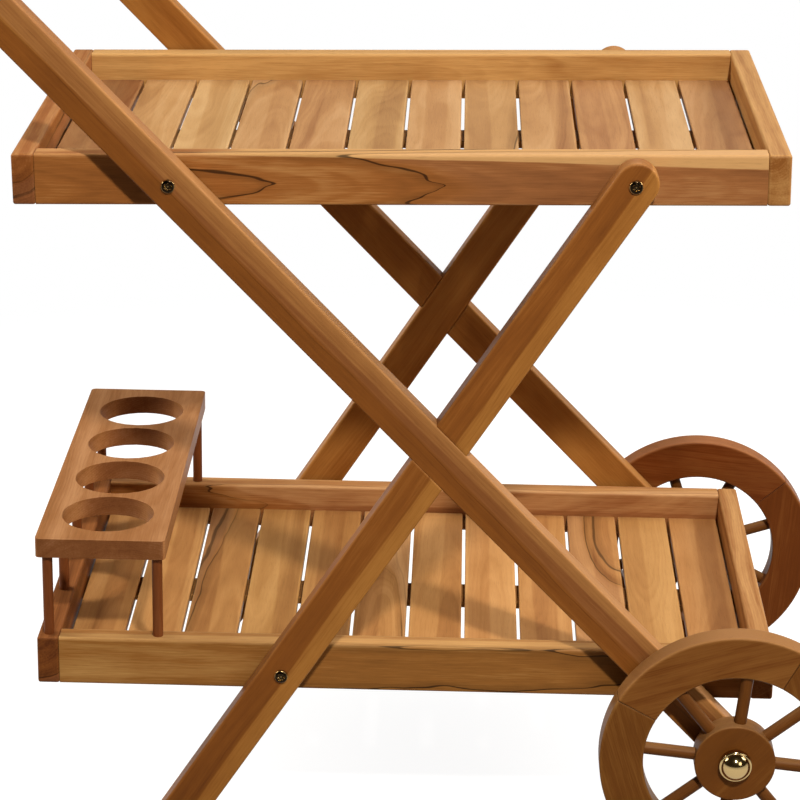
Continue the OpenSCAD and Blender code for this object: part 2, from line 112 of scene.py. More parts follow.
def carry(corners, at, across, depth, inset, steps=4):
    # Carries the outline along a path: point(v, u) = at(v) + across(v) * x(u, v) + depth(v) * y(u, v),
    # where x, y walk round the outline drawn in by inset(v). Across x depth points along the path.
    ring, onArc = softOutline(corners, inset, steps)
    m, n = ring.shape[:2]
    at, across, depth = (np.broadcast_to(np.asarray(v, float), (m, 3)) for v in (at, across, depth))
    points = at[:, None] + across[:, None] * ring[..., :1] + depth[:, None] * ring[..., 1:]
    quads, caps = tubeFaces(m, n)
    fillet = ((inset > 0) & (inset < np.max(inset) - 1e-7)).astype(float)
    edge = np.maximum(fillet[:, None], onArc[None]).ravel()
    sharp = [k for k, i in ((0, inset[0]), (1, inset[-1])) if i == 0]
    return {"points": points.reshape(-1, 3), "quads": quads, "caps": caps, "edge": edge,
            "sharpCaps": sharp}


def boxCorners(width, height, r):
    # A rectangle about the middle, anticlockwise, with its corner radius kept just under half a side.
    a, b = width / 2, height / 2
    r = min(r, a * nearlyRound, b * nearlyRound)
    return [(-a, -b, r), (a, -b, r), (a, b, r), (-a, b, r)]


def beam(centre, along, across, length, width, thick, ease, endEase=None, steps=3):
    # A straight bar: its section is width x thick with eased long edges, and its ends are eased too.
    endEase = ease if endEase is None else endEase
    along, across = np.asarray(along, float), np.asarray(across, float)
    depth = np.cross(along, across)
    s, inset = easedStations(length, endEase, endEase, steps)
    at = np.asarray(centre, float)[None] + along[None] * (s - length / 2)[:, None]
    shell = carry(boxCorners(width, thick, ease), at, across, depth, inset, steps)
    return withGrain(shell, centre, along, across)


def slab(corners, base, first, second, t0, t1, ease0, ease1, steps=4):
    # A flat board cut to an outline in the plane of first and second, from t0 to t1 along their normal.
    first, second = np.asarray(first, float), np.asarray(second, float)
    normal = np.cross(first, second)
    s, inset = easedStations(t1 - t0, ease0, ease1)
    at = np.asarray(base, float)[None] + normal[None] * (t0 + s)[:, None]
    return withGrain(carry(corners, at, first, second, inset, steps), base, first, second)


def turned(profile, base, axis, sides=48, closed=False):
    # Revolves a profile of (radius, height) rows about an axis: point = base + axis * height + radius *
    # (cos u, sin u) in the plane across the axis. A closed profile makes a ring; an open one gets caps.
    axis = np.asarray(axis, float)
    first = np.cross(axis, zAxis if abs(axis[2]) < 0.9 else xAxis)
    first = first / np.linalg.norm(first)
    second = np.cross(axis, first)
    p = np.asarray(profile, float)
    u = np.linspace(0, 2 * math.pi, sides, endpoint=False)
    around = np.cos(u)[:, None] * first + np.sin(u)[:, None] * second
    points = np.asarray(base, float) + axis * p[:, 1, None, None] + around[None] * p[:, 0, None, None]
    quads, caps = tubeFaces(len(p), sides, closed)
    shell = {"points": points.reshape(-1, 3), "quads": quads, "caps": caps,
             "edge": np.zeros(len(p) * sides), "sharpCaps": []}
    return withGrain(shell, base, first, axis)


def withGrain(shell, origin, along, across):
    # Where each point lies in its own plank, in metres: along the grain, across it and into its depth.
    along, across = np.asarray(along, float), np.asarray(across, float)
    rel = shell["points"] - np.asarray(origin, float)
    shell["grain"] = np.stack([rel @ along, rel @ across, rel @ np.cross(along, across)], 1)
    shell["along"] = np.broadcast_to(along, rel.shape)
    return shell


def look(shell, seed=0.0, tone=0.0, warm=0.0, pith=(0.0, 0.05, 0.0), veins=(9.0, 9.0, 0.03),
         band=(0.0, 0.02, 0.0), lean=0.0):
    # What sets one plank apart: how dark and red it is; where the tree's pith lies (across, deep, and its
    # slope against the plank, which draws the arches); two dark veins by their distance from the pith, and
    # how far everything wanders; a band of paler or darker wood (its middle across, half its width, its
    # strength) and its slope along the plank. A vein nine metres off is none.
    n = len(shell["points"])
    shell["traits"] = np.tile((seed, tone, warm), (n, 1))
    shell["pith"] = np.tile(pith, (n, 1))
    shell["veins"] = np.tile(veins, (n, 1))
    shell["band"] = np.tile(band, (n, 1))
    shell["lean"] = np.full(n, float(lean))
    return shell


def putObject(name, data):
    # An object with this data, placed in the scene.
    made = bpy.data.objects.new(name, data)
    bpy.context.scene.collection.objects.link(made)
    return made


def makePiece(name, shells, material, body, nodes):
    # One object from shells laid one after another, with what they know of their planks. It rides its body
    # and stands for its nodes. Ends that are cut square keep a sharp border.
    points, faces, sharpPairs, start = [], [], [], 0
    for s in shells:
        points.append(s["points"])
        faces += (s["quads"] + start).tolist() + [(c + start).tolist() for c in s["caps"]]
        for k in s["sharpCaps"]:
            c = s["caps"][k] + start
            sharpPairs.append(np.sort(np.stack([c, np.roll(c, -1)], 1), 1))
        start += len(s["points"])
    mesh = bpy.data.meshes.new(name)
    mesh.from_pydata(np.concatenate(points).tolist(), [], faces)
    mesh.update()
    mesh.polygons.foreach_set("use_smooth", np.ones(len(faces), bool))
    if sharpPairs:
        ends = np.empty(len(mesh.edges) * 2, int)
        mesh.edges.foreach_get("vertices", ends)
        key = np.sort(ends.reshape(-1, 2), 1) @ (1, start)
        wanted = np.isin(key, np.concatenate(sharpPairs) @ (1, start))
        mesh.attributes.new("sharp_edge", "BOOLEAN", "EDGE").data.foreach_set("value", wanted)
    for label in ("grain", "along", "traits", "pith", "veins", "band", "lean", "edge"):
        if label in shells[0]:
            value = np.concatenate([s[label] for s in shells]).astype(np.float32)
            kind, field = ("FLOAT", "value") if value.ndim == 1 else ("FLOAT_VECTOR", "vector")
            mesh.attributes.new(label, kind, "POINT").data.foreach_set(field, value.ravel())
    piece = putObject(name, mesh)
    mesh.materials.append(material)
    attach(piece, body)
    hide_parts(*nodes)
    return piece


def linear(hexText):
    # sRGB hex to linear light
    v = np.array([int(hexText[i:i + 2], 16) for i in (1, 3, 5)]) / 255
    v = np.where(v <= 0.04045, v / 12.92, ((v + 0.055) / 1.055) ** 2.4)
    return (*v.tolist(), 1.0)


def add(owner, kind, settings=None, stops=None, **inputs):
    # Adds a node to a material or the world, sets it, gives a colour ramp its stops, and joins or fills its
    # inputs; an input's number is written i0, i1, ...
    node = owner.node_tree.nodes.new("ShaderNode" + kind)
    for key, value in (settings or {}).items():
        setattr(node, key, value)
    for i, (at, colour) in enumerate(stops or []):
        ramp = node.color_ramp.elements
        if i >= len(ramp):
            ramp.new(1.0)
        ramp[i].position = at
        ramp[i].color = linear(colour) if isinstance(colour, str) else (colour, colour, colour, 1)
    for key, value in inputs.items():
        socket = node.inputs[int(key[1:])] if key[1:].isdigit() else node.inputs[key.replace("_", " ")]
        if isinstance(value, bpy.types.Node):
            value = value.outputs[0]
        if isinstance(value, bpy.types.NodeSocket):
            owner.node_tree.links.new(value, socket)
        else:
            socket.default_value = value
    return node


def newMaterial(name, **inputs):
    # A material with one shader on its output, and some of the shader's inputs filled.
    mat = bpy.data.materials.new(name)
    mat.use_nodes = True
    mat.node_tree.nodes.clear()
    shader = add(mat, "BsdfPrincipled", **inputs)
    add(mat, "OutputMaterial", Surface=shader)
    return mat, shader


def oiledWood(name, pale, mid, dark, rings=0.12, bands=0.5, fibres=0.16, vein=0.62, paintedTopLight=0.0,
              endDark=0.12, rough=0.44):
    # Planks of one kind, each with its own look. The distance from the tree's pith gives fine year rings,
    # broad soft bands of paler and darker heartwood and thin dark veins, which show as arches or as lines
    # with the way the plank was sawn. Fibres and short open pores run along it. A noise is given by its
    # features per metre along the grain, across it and into the plank's depth. Oil leaves a much weaker
    # gloss than varnish.
    mat, shader = newMaterial(name, Specular_IOR_Level=0.06)
    calc = lambda op, a, b=0.0, c=0.0: add(mat, "Math", {"operation": op}, i0=a, i1=b, i2=c)
    scaled = lambda v, x, y, z: add(mat, "VectorMath", {"operation": "MULTIPLY"}, i0=v, i1=(x, y, z))
    noise = lambda x, y, z, detail, falloff=0.5: add(mat, "TexNoise", Vector=scaled(here, x, y, z), Scale=1.0,
                                                     Detail=detail, Roughness=falloff)
    split = lambda v: add(mat, "SeparateXYZ", Vector=v).outputs
    length = lambda x, y, z: add(mat, "VectorMath", {"operation": "LENGTH"},
                                 i0=add(mat, "CombineXYZ", X=x, Y=y, Z=z)).outputs["Value"]
    plank = lambda label, socket="Vector": add(mat, "Attribute", {"attribute_name": label}).outputs[socket]
    smooth = lambda v, a, b, lo=0.0, hi=1.0: add(mat, "MapRange", {"interpolation_type": "SMOOTHSTEP"},
                                                 Value=v, From_Min=a, From_Max=b, To_Min=lo,
                                                 To_Max=hi).outputs[0]
    centred = lambda v: calc("SUBTRACT", v, 0.5)
    grain = plank("grain")
    ownL, ownA, ownD = split(grain)
    seed, tone, warm = split(plank("traits"))
    pithA, pithD, pithSlope = split(plank("pith"))
    vein1, vein2, wander = split(plank("veins"))
    bandAt, bandHalf, bandGain = split(plank("band"))
    yearPitch = 0.0026  # metres between year rings
    veinThin, veinWide, veinShade = 0.001, 0.0022, 0.012  # metres from a vein's middle to its border
    away = scaled(add(mat, "CombineXYZ", X=seed, Y=seed, Z=seed), 3.17, 1.73, 2.31)
    here = add(mat, "VectorMath", {"operation": "ADD"}, i0=grain, i1=away)
    swayA, swayD, swayL = split(noise(3.0, 12, 12, 2.5).outputs["Color"])

    # distance from the pith, which wanders and slopes against the plank
    sideways = calc("MULTIPLY_ADD", centred(swayA), wander, calc("SUBTRACT", ownA, pithA))
    depth = calc("MULTIPLY_ADD", centred(swayD), wander, calc("ADD", ownD, pithD))
    depth = calc("MULTIPLY_ADD", ownL, pithSlope, depth)
    radius = length(0.0, sideways, depth)

    # year rings, pale in spring and dark in autumn, stronger in some patches, and broad bands of about 10 mm
    year = calc("FRACT", calc("DIVIDE", radius, yearPitch))
    yearStops = [(0.0, 0.62), (0.12, 0.95), (0.55, 0.72), (0.86, 0.3), (1.0, 0.5)]
    yearTone = add(mat, "ValToRGB", stops=yearStops, Fac=year)
    ringHere = calc("MULTIPLY_ADD", noise(4.5, 26, 26, 2.0), 2.4, -0.6)
    figure = calc("MULTIPLY", calc("SUBTRACT", yearTone, 0.66), ringHere)
    growthAt = calc("MULTIPLY_ADD", radius, 105.0, calc("MULTIPLY", seed, 7.3))
    growth = add(mat, "TexNoise", {"noise_dimensions": "1D"}, W=growthAt, Scale=1.0, Detail=2.5,
                 Roughness=0.55)

    # veins: thin crisp lines with a soft shade on their inner side, a little ragged and broken here and
    # there. Dividing by how fast the distance grows in the plank's face keeps a line as thin at its tip as
    # along its sides. They fade out near the handle's end of the long rails.
    growing = length(calc("DIVIDE", sideways, radius), pithSlope, 0.03)
    ragged = calc("MULTIPLY_ADD", centred(noise(19, 75, 75, 1.0)), 0.0034, radius)

    def veinLine(at, thick):
        off = calc("DIVIDE", calc("SUBTRACT", ragged, at), growing)
        line = smooth(calc("ABSOLUTE", off), thick * 0.35, thick, 1.0, 0.0)
        shade = calc("MULTIPLY", smooth(off, -veinShade, -0.0002), smooth(off, 0.0, 0.0006, 1.0, 0.0))
        return calc("MAXIMUM", line, calc("MULTIPLY", shade, 0.3))

    broken = smooth(noise(4.2, 12, 12, 1.5), 0.34, 0.5)
    veins = calc("MULTIPLY", calc("MAXIMUM", veinLine(vein1, veinThin), veinLine(vein2, veinWide)),
                 calc("MULTIPLY", calc("MULTIPLY_ADD", broken, 0.75, 0.25), smooth(ownL, -0.27, -0.23)))

    # fine fibres, some centimetres long, and the short dark dashes of open pores
    fibre = noise(26, 680, 680, 3.0, 0.62)
    strand = noise(2.8, 130, 130, 2.0)
    pores = smooth(noise(60, 2300, 2300, 1.0), 0.3, 0.4, 1.0, 0.0)
    broad = noise(1.6, 26, 26, 1.5, 0.4)
    mottle = noise(18, 30, 30, 2.5)

    # value from 0, the darkest wood, to 1, the palest
    value = calc("MULTIPLY_ADD", figure, rings * 1.3, 0.5)
    value = calc("MULTIPLY_ADD", centred(growth), bands, value)
    value = calc("MULTIPLY_ADD", centred(broad), bands, value)
    value = calc("MULTIPLY_ADD", centred(mottle), 0.26, value)
    value = calc("MULTIPLY_ADD", centred(fibre), fibres * 2.0, value)
    value = calc("MULTIPLY_ADD", centred(strand), fibres, value)
    outside = smooth(calc("SUBTRACT", radius, vein1), 0.0, 0.003)
    value = calc("MULTIPLY_ADD", outside, 0.05, calc("ADD", value, tone))

    # a band of sapwood or heartwood with a wavering border
    bandY = calc("MULTIPLY_ADD", centred(swayL), 0.008, calc("SUBTRACT", ownA, bandAt))
    bandY = calc("MULTIPLY_ADD", ownL, calc("MULTIPLY", plank("lean", "Fac"), -1.0), bandY)
    bandY = calc("DIVIDE", calc("ABSOLUTE", bandY), calc("MAXIMUM", bandHalf, 0.0005))
    inBand = smooth(bandY, 0.82, 1.08, 1.0, 0.0)
    value = calc("MULTIPLY_ADD", inBand, bandGain, value)
    value = calc("MULTIPLY_ADD", plank("edge", "Fac"), 0.07, value)

    # painted light: upward faces are paler, standing in for the light from above and its sheen on the oil
    normal = add(mat, "TexCoord").outputs["Normal"]
    upward = calc("MAXIMUM", split(normal)[2], 0.0)
    value = calc("MULTIPLY_ADD", upward, paintedTopLight, value)
    colour = add(mat, "ValToRGB", stops=[(0.0, dark), (0.5, mid), (1.0, pale)], Fac=value)

    # sawn ends drink more oil and are darker
    across = add(mat, "VectorMath", {"operation": "DOT_PRODUCT"}, i0=normal,
                 i1=plank("along")).outputs["Value"]
    darkening = calc("MULTIPLY", calc("MULTIPLY_ADD", calc("MULTIPLY", veins, vein), -1.0, 1.0),
                     calc("MULTIPLY_ADD", pores, -0.16, 1.0))
    sawn = smooth(calc("ABSOLUTE", across), 0.6, 0.95)
    darkening = calc("MULTIPLY", darkening, calc("MULTIPLY_ADD", sawn, -endDark, 1.0))
    hue = calc("MULTIPLY_ADD", calc("MULTIPLY", inBand, bandGain), 0.006,
               calc("MULTIPLY_ADD", warm, -0.03, 0.5))
    hue = calc("MULTIPLY_ADD", sawn, endDark * -0.02, hue)
    saturation = calc("MULTIPLY_ADD", outside, -0.04, calc("MULTIPLY_ADD", warm, 0.03, 1.0))
    saturation = calc("MULTIPLY_ADD", sawn, endDark * 0.06, saturation)
    # painted sheen: upward faces also lose some of their colour
    saturation = calc("MULTIPLY_ADD", upward, paintedTopLight * -0.15, saturation)
    graded = add(mat, "HueSaturation", Hue=hue, Saturation=saturation, Value=darkening, Color=colour)
    height = calc("MULTIPLY_ADD", fibre, 0.6, calc("MULTIPLY", pores, -0.5))
    bump = add(mat, "Bump", Height=height, Strength=0.3, Distance=0.00015)
    gloss = calc("MULTIPLY_ADD", mottle, 0.16, calc("MULTIPLY_ADD", fibre, 0.1, rough - 0.13))
    for source, target in ((graded, "Base Color"), (gloss, "Roughness"), (bump, "Normal")):
        mat.node_tree.links.new(source.outputs[0], shader.inputs[target])
    return mat


# Rails and end boards: golden-brown heartwood with dark veins and paler sapwood, dull with oil.
railWood = oiledWood("teakRailsPlanedAndOiled", "#bd8a50", "#8d5626", "#5c3213", fibres=0.24, vein=0.8,
                     paintedTopLight=0.2, endDark=0.2)
# Slats: the palest wood here, each of two tones side by side, with hardly any veins.
slatWood = oiledWood("teakSlatsPlanedAndOiled", "#c89f70", "#aa7d4e", "#7a4b29", rings=0.09, bands=0.56,
                     fibres=0.11, vein=0.65)
# Lower slats: the same wood painted deeper and more golden, as painted shade under the upper tray.
shadedSlatWood = oiledWood("teakLowerSlatsOiled", "#c5975b", "#a57741", "#784b22", rings=0.09, bands=0.56,
                           fibres=0.11, vein=0.65)
# Legs: reddish-brown and even, so that their long edges catch the light as pale lines; their upward faces are
# painted paler as painted light from above.
legWood = oiledWood("teakLegsPlanedAndOiled", "#ac7335", "#7e491a", "#4d270d", rings=0.07, bands=0.46,
                    fibres=0.13, vein=0.3, paintedTopLight=0.35, endDark=0.0)
# Wheels: stained darker and more evenly than the rest, with a soft cloudy figure; the faces that look up at
# rest, such as the tread at the top, are painted paler as painted light from above.
wheelWood = oiledWood("wheelOakStainedAndOiled", "#96652f", "#673a12", "#452409", rings=0.05, bands=0.3,
                      fibres=0.14, vein=0.2, paintedTopLight=0.45, endDark=0.05)
# Bottle board: golden with thin lengthwise lines, and darker on its sawn ends.
boardWood = oiledWood("bottleBoardSandedAndOiled", "#bd895a", "#956135", "#5f3515", rings=0.14, bands=0.34,
                      fibres=0.22, vein=0.3, paintedTopLight=0.1, endDark=0.4)
# Posts: thin round dowels, the darkest wood, with no figure to speak of.
postWood = oiledWood("bottlePostsTurnedAndOiled", "#8a542c", "#6a3718", "#3f1d0a", rings=0.06, bands=0.3,
                     vein=0.0)
# Battens under the slats: sawn and hardly oiled, dull.
hiddenWood = oiledWood("hiddenBattenSawn", "#a87840", "#83562a", "#553214", rough=0.55)


def metal(name, colour, rough, wornFinishAndGlint=None):
    # Bare metal of one colour; fine turning marks make its gloss a little uneven. Where its dark finish has
    # worn off along the edges, a brighter colour is painted, which also stands as a painted highlight.
    mat, shader = newMaterial(name, Base_Color=linear(colour), Metallic=1.0)
    marks = add(mat, "TexNoise", Vector=add(mat, "TexCoord").outputs["Object"], Scale=900.0, Detail=3.0)
    if wornFinishAndGlint:
        edge = add(mat, "Attribute", {"attribute_name": "edge"}).outputs["Fac"]
        tint = add(mat, "ValToRGB", stops=[(0.0, colour), (0.35, colour), (1.0, wornFinishAndGlint)], Fac=edge)
        mat.node_tree.links.new(tint.outputs[0], shader.inputs["Base Color"])
    spread = add(mat, "MapRange", Value=marks.outputs["Fac"], To_Min=rough - 0.04, To_Max=rough + 0.06)
    mat.node_tree.links.new(spread.outputs[0], shader.inputs["Roughness"])
    return mat


# Caps: turned and polished, so they mirror the pale floor below and the dark room above.
brass = metal("brassTurnedAndPolished", "#ab9163", 0.12)
# Bolts, washers and spacers: bronzed nearly black; the bolt heads' rims and sockets are painted golden,
# partly worn finish and partly a painted highlight.
bronzedSteel = metal("steelBoltsBronzed", "#1e150c", 0.2, wornFinishAndGlint="#c9a468")
# Slat screws and axle bolts: plain bright grey, hidden in the wood.
plainSteel = metal("steelTurnedBright", "#9c9894", 0.34)
# Threaded inserts: dull yellow, hidden in the rails.
insertBrass = metal("brassInsertsTurned", "#b8924e", 0.34)
print("finishes made")


# Sizes are in millimetres and degrees from here on, and looks in metres; "wood", "twoTone" and "seed" belong
# to a tray's slats.
trays = {
    "upper": {"x": -27.0969, "top": 739.0, "tilt": 0.0, "wood": slatWood, "twoTone": -0.13, "seed": 11.3},
    "lower": {"x": -24.7969, "top": 231.0, "tilt": 1.05, "wood": shadedSlatWood, "twoTone": -0.18,
              "seed": 31.3},
}
tray = {"len": 740.0, "depth": 450.0, "railH": 50.0, "railT": 24.0, "endT": 22.0, "ease": 2.5, "railCut": 0.4,
        "slatTop": -29.0, "slatT": 10.0, "slatGap": 3.5, "slatEase": 1.5, "slats": 12, "tongue": 6.0,
        "battenW": 45.0, "battenT": 8.0, "battenEase": 0.8}
tray["inner"] = tray["len"] - 2 * tray["endT"]


def trayAxes(name):
    # Where a tray's middle lies on its upper rim, and which way its length and its height point.
    t = trays[name]
    a = math.radians(t["tilt"])
    origin = np.array([t["x"], 0, t["top"]]) * mm
    return origin, np.array([math.cos(a), 0, -math.sin(a)]), np.array([math.sin(a), 0, math.cos(a)])


def inTray(name, x, y, z):
    # place(x, y, z) = origin + length axis * x + Y * y + height axis * z
    origin, ux, uz = trayAxes(name)
    return origin + (ux * x + yAxis * y + uz * z) * mm


railLooks = {
    "upperFront": dict(seed=1.2, tone=-0.04, warm=0.05, pith=(-0.007, 0.055, 0.052),
                       veins=(0.0692, 0.0593, 0.012), band=(0.028, 0.008, 0.6), lean=-0.025),
    "upperBack": dict(seed=2.7, tone=0.33, warm=-0.15, pith=(-0.01, 0.06, 0.01)),
    "lowerFront": dict(seed=3.9, tone=0.02, warm=-0.2, pith=(0.0, 0.05, 0.012), veins=(0.066, 9.0, 0.005)),
    "lowerBack": dict(seed=5.1, tone=-0.13, warm=0.1, pith=(0.01, 0.06, 0.03), veins=(0.068, 9.0, 0.03),
                      band=(0.014, 0.013, 0.18)),
    "upperEndLeft": dict(seed=6.4, tone=-0.1, warm=0.1, pith=(0.03, 0.02, 0.02),
                         veins=(0.034, 0.047, 0.006)),
    "upperEndRight": dict(seed=7.3, tone=0.15, warm=-0.1, pith=(0.03, 0.02, 0.02)),
    "lowerEndLeft": dict(seed=8.8, tone=-0.36, warm=0.1, pith=(0.03, 0.02, 0.02),
                         veins=(0.05, 9.0, 0.006)),
    "lowerEndRight": dict(seed=9.6, tone=0.05, warm=0.0, pith=(0.03, 0.02, 0.02)),
}
slatLooks = {  # tone and warmth of each slat from the handle's end
    "upper": [(-0.19, 0.07), (0.06, -0.08), (0.13, -0.18), (0.06, 0.02), (0.01, 0.07), (0.09, -0.18),
              (0.07, 0.02), (0.05, -0.08), (0.01, 0.02), (-0.05, 0.12), (0.13, -0.08), (0.01, 0.12)],
    "lower": [(0.01, 0.2), (0.08, 0.2), (-0.04, 0.15), (-0.02, 0.05), (0.01, 0.15), (0.06, 0.2),
              (0.11, 0.2), (0.21, 0.25), (0.06, 0.25), (-0.09, 0.25), (0.08, 0.1), (0.01, 0.3)],
}
slatFigures = {  # the slats that show arches
    ("lower", 3): dict(pith=(0.012, 0.035, 0.06), veins=(0.044, 0.05, 0.03)),
    ("lower", 6): dict(pith=(0.0, 0.03, 0.12), veins=(0.03, 0.038, 0.04)),
    ("lower", 10): dict(pith=(0.030, -0.035, 0.25), veins=(0.039, 0.029, 0.006)),
    ("upper", 4): dict(pith=(0.01, 0.03, 0.09), veins=(0.046, 9.0, 0.03)),
    ("upper", 8): dict(pith=(-0.01, 0.04, -0.06), veins=(0.05, 9.0, 0.03)),
}


def makeTray(name):
    # Two long rails between two end boards, with the slats side by side between them and a batten below.
    _, ux, uz = trayAxes(name)
    t = tray
    railY = t["depth"] / 2 - t["railT"] / 2
    for side, word in ((-1, "Front"), (1, "Back")):
        # the visible outer face is the plank's face, its rings lie behind it
        shell = beam(inTray(name, 0, side * railY, -t["railH"] / 2), ux, uz, t["inner"] * mm,
                     t["railH"] * mm, t["railT"] * mm, t["ease"] * mm, endEase=t["railCut"] * mm)
        key = name + word
        makePiece(key + "Rail", [look(shell, **railLooks[key])], railWood, "cart",
                  [name + "_rail_" + word.lower()])
    for side, word in ((-1, "Left"), (1, "Right")):
        shell = beam(inTray(name, side * (t["len"] - t["endT"]) / 2, 0, -t["railH"] / 2), yAxis, uz,
                     t["depth"] * mm, t["railH"] * mm, t["endT"] * mm, t["ease"] * mm)
        key = name + "End" + word
        makePiece(key, [look(shell, **railLooks[key])], railWood, "cart",
                  [name + "_end_" + word.lower()])
    pitch = t["inner"] / t["slats"]
    slatLen = t["depth"] - 2 * t["railT"] + 2 * t["tongue"]
    own = trays[name]
    for i, (tone, warm) in enumerate(slatLooks[name]):
        x = -t["inner"] / 2 + pitch * (i + 0.5)
        shell = beam(inTray(name, x, 0, t["slatTop"] - t["slatT"] / 2), yAxis, ux, slatLen * mm,
                     (pitch - t["slatGap"]) * mm, t["slatT"] * mm, t["slatEase"] * mm)
        seed = own["seed"] + 1.37 * i
        wobble = math.sin(seed * 5.3)
        band = (0.016 * math.sin(seed * 2.9), 0.012, own["twoTone"])
        plain = {"pith": (0.02 * wobble, 0.045 + 0.01 * wobble, 0.05 * wobble)}
        look(shell, seed=seed, tone=tone, warm=warm, band=band, lean=0.02 * wobble,
             **slatFigures.get((name, i + 1), plain))
        makePiece("%sSlat%d" % (name, i + 1), [shell], own["wood"], "cart",
                  ["%s_slat_%d" % (name, i + 1)])
    shell = beam(inTray(name, 0, 0, t["slatTop"] - t["slatT"] - t["battenT"] / 2), ux, yAxis,
                 t["inner"] * mm, t["battenW"] * mm, t["battenT"] * mm, t["battenEase"] * mm)
    makePiece(name + "Batten", [look(shell, seed=41.0)], hiddenWood, "cart",
              [name + "_batten"])


for trayName in trays:
    makeTray(trayName)
print("trays made")


legs = {"width": 42.0, "inY": 228.5, "midY": 240.0, "outY": 251.5, "ease": 2.0,
        "boltA": (-245.097, 715.0), "boltB": (194.903, 715.0), "longSlope": 46.9038, "shortSlope": 55.9,
        "handleReach": 250.0, "longRun": 798.658, "shortTop": -2.0, "handleD": 30.0, "lapR": 0.2,
        "seamR": 0.3, "tuck": 1.2, "footR": 1.5}
legLooks = {
    "longFront": dict(seed=51.7, tone=-0.06, warm=0.05, pith=(-0.03, 0.02, 0.004), veins=(0.0424, 9.0, 0.008),
                      band=(0.011, 0.010, 0.2), lean=0.014),
    "longBack": dict(seed=53.1, tone=0.12, warm=0.0, pith=(-0.015, 0.05, 0.03)),
    "shortFront": dict(seed=55.9, tone=-0.12, warm=0.05, pith=(0.03, 0.03, 0.01),
                       band=(-0.0125, 0.0105, 0.32), lean=-0.005),
    "shortBack": dict(seed=57.2, tone=0.16, warm=0.0, pith=(0.02, 0.04, 0.03)),
}


def makeLegs(side, word):
    # The two legs of one side cross in one plane, half lapped. Each leg is one whole half and one half in
    # two lengths that stop at the other leg: the long leg is whole outside, the short leg inside.
    g = legs
    a, b = math.radians(g["longSlope"]), math.radians(g["shortSlope"])
    baseA, baseB = (np.array([g[k][0], 0, g[k][1]]) * mm for k in ("boltA", "boltB"))
    downA, upA = np.array([math.cos(a), 0, -math.sin(a)]), np.array([math.sin(a), 0, math.cos(a)])
    downB, upB = np.array([-math.cos(b), 0, -math.sin(b)]), np.array([-math.sin(b), 0, math.cos(b)])
    ease, lapR, seamR, tuck, footR = (g[k] * mm for k in ("ease", "lapR", "seamR", "tuck", "footR"))
    w = g["width"] / 2 * mm
    endR = w * nearlyRound
    inY, midY, outY = (side * g[k] * mm for k in ("inY", "midY", "outY"))

    def makeLeg(kind, base, down, up, startY, endY, outlines):
        # the first outline lies between the starting face and the middle, both others beyond it
        shells = []
        for i, corners in enumerate(outlines):
            ends = [(midY, 0), (endY, ease)] if i else [(startY, ease), (midY, 0)]
            sign = np.cross(down, up)[1]
            (yA, easeA), (yB, easeB) = sorted(ends, key=lambda end: end[0] * sign)
            shell = slab(corners, base, down, up, yA * sign, yB * sign, easeA, easeB, steps=10)
            shells.append(look(withGrain(shell, base + yAxis * midY, down, up), **legLooks[kind + word]))
        makePiece(kind + word + "Leg", shells, legWood, "cart", [kind + "_leg_" + word.lower()])

    def meets(n, offset, base, down, up, otherBase, otherUp):
        # distance down one leg at which its point n across lies the offset across the other leg:
        # (offset - (base - other base) . other up - n * up . other up) / (down . other up)
        return (offset - (base - otherBase) @ otherUp - n * (up @ otherUp)) / (down @ otherUp)

    onLong = lambda n, offset: meets(n, offset, baseA, downA, upA, baseB, upB)
    onShort = lambda n, offset: meets(n, offset, baseB, downB, upB, baseA, upA)
    s0, s1 = -g["handleReach"] * mm - w, g["longRun"] * mm + w
    makeLeg("long", baseA, downA, upA, outY, inY, [
        [(s0, -w, endR), (s1, -w, endR), (s1, w, endR), (s0, w, endR)],
        [(s0, -w, endR), (onLong(-w, w), -w, lapR), (onLong(w, w), w, lapR), (s0, w, endR)],
        [(onLong(-w, -w), -w, lapR), (s1, -w, endR), (s1, w, endR), (onLong(w, -w), w, lapR)]])

    # the short leg's foot is cut level, and its outer half reaches a little into the long leg
    top = g["shortTop"] * mm - w
    floorAt = lambda n: (baseB[2] + n * upB[2]) / math.sin(b)
    foot = [(floorAt(-w), -w, footR), (floorAt(w), w, footR)]
    makeLeg("short", baseB, downB, upB, inY, outY, [
        [(top, -w, endR), *foot, (top, w, endR)],
        [(top, -w, endR), (onShort(-w, w) + tuck, -w, seamR), (onShort(w, w) + tuck, w, seamR),
         (top, w, endR)],
        [(onShort(-w, -w) - tuck, -w, seamR), *foot, (onShort(w, -w) - tuck, w, seamR)]])
    return baseA - downA * g["handleReach"] * mm


for side, word in ((-1, "Front"), (1, "Back")):
    handleAt = makeLegs(side, word)

handleD = legs["handleD"] * mm
handle = beam(handleAt, yAxis, zAxis, 2 * legs["inY"] * mm, handleD, handleD, handleD / 2, cutEase, 10)
makePiece("handleBar", [look(handle, seed=61.3, tone=0.05, pith=(0.005, 0.03, 0.01))], legWood, "cart",
          ["handle_bar"])
print("legs made")


board = {"x": -305.0, "width": 130.0, "len": 446.0, "thick": 20.0, "lift": 86.0, "corner": 5.0,
         "holes": 4, "hole": 46.5, "pitch": 102.0, "ease": 2.0, "postD": 10.5, "tenon": 4.0}


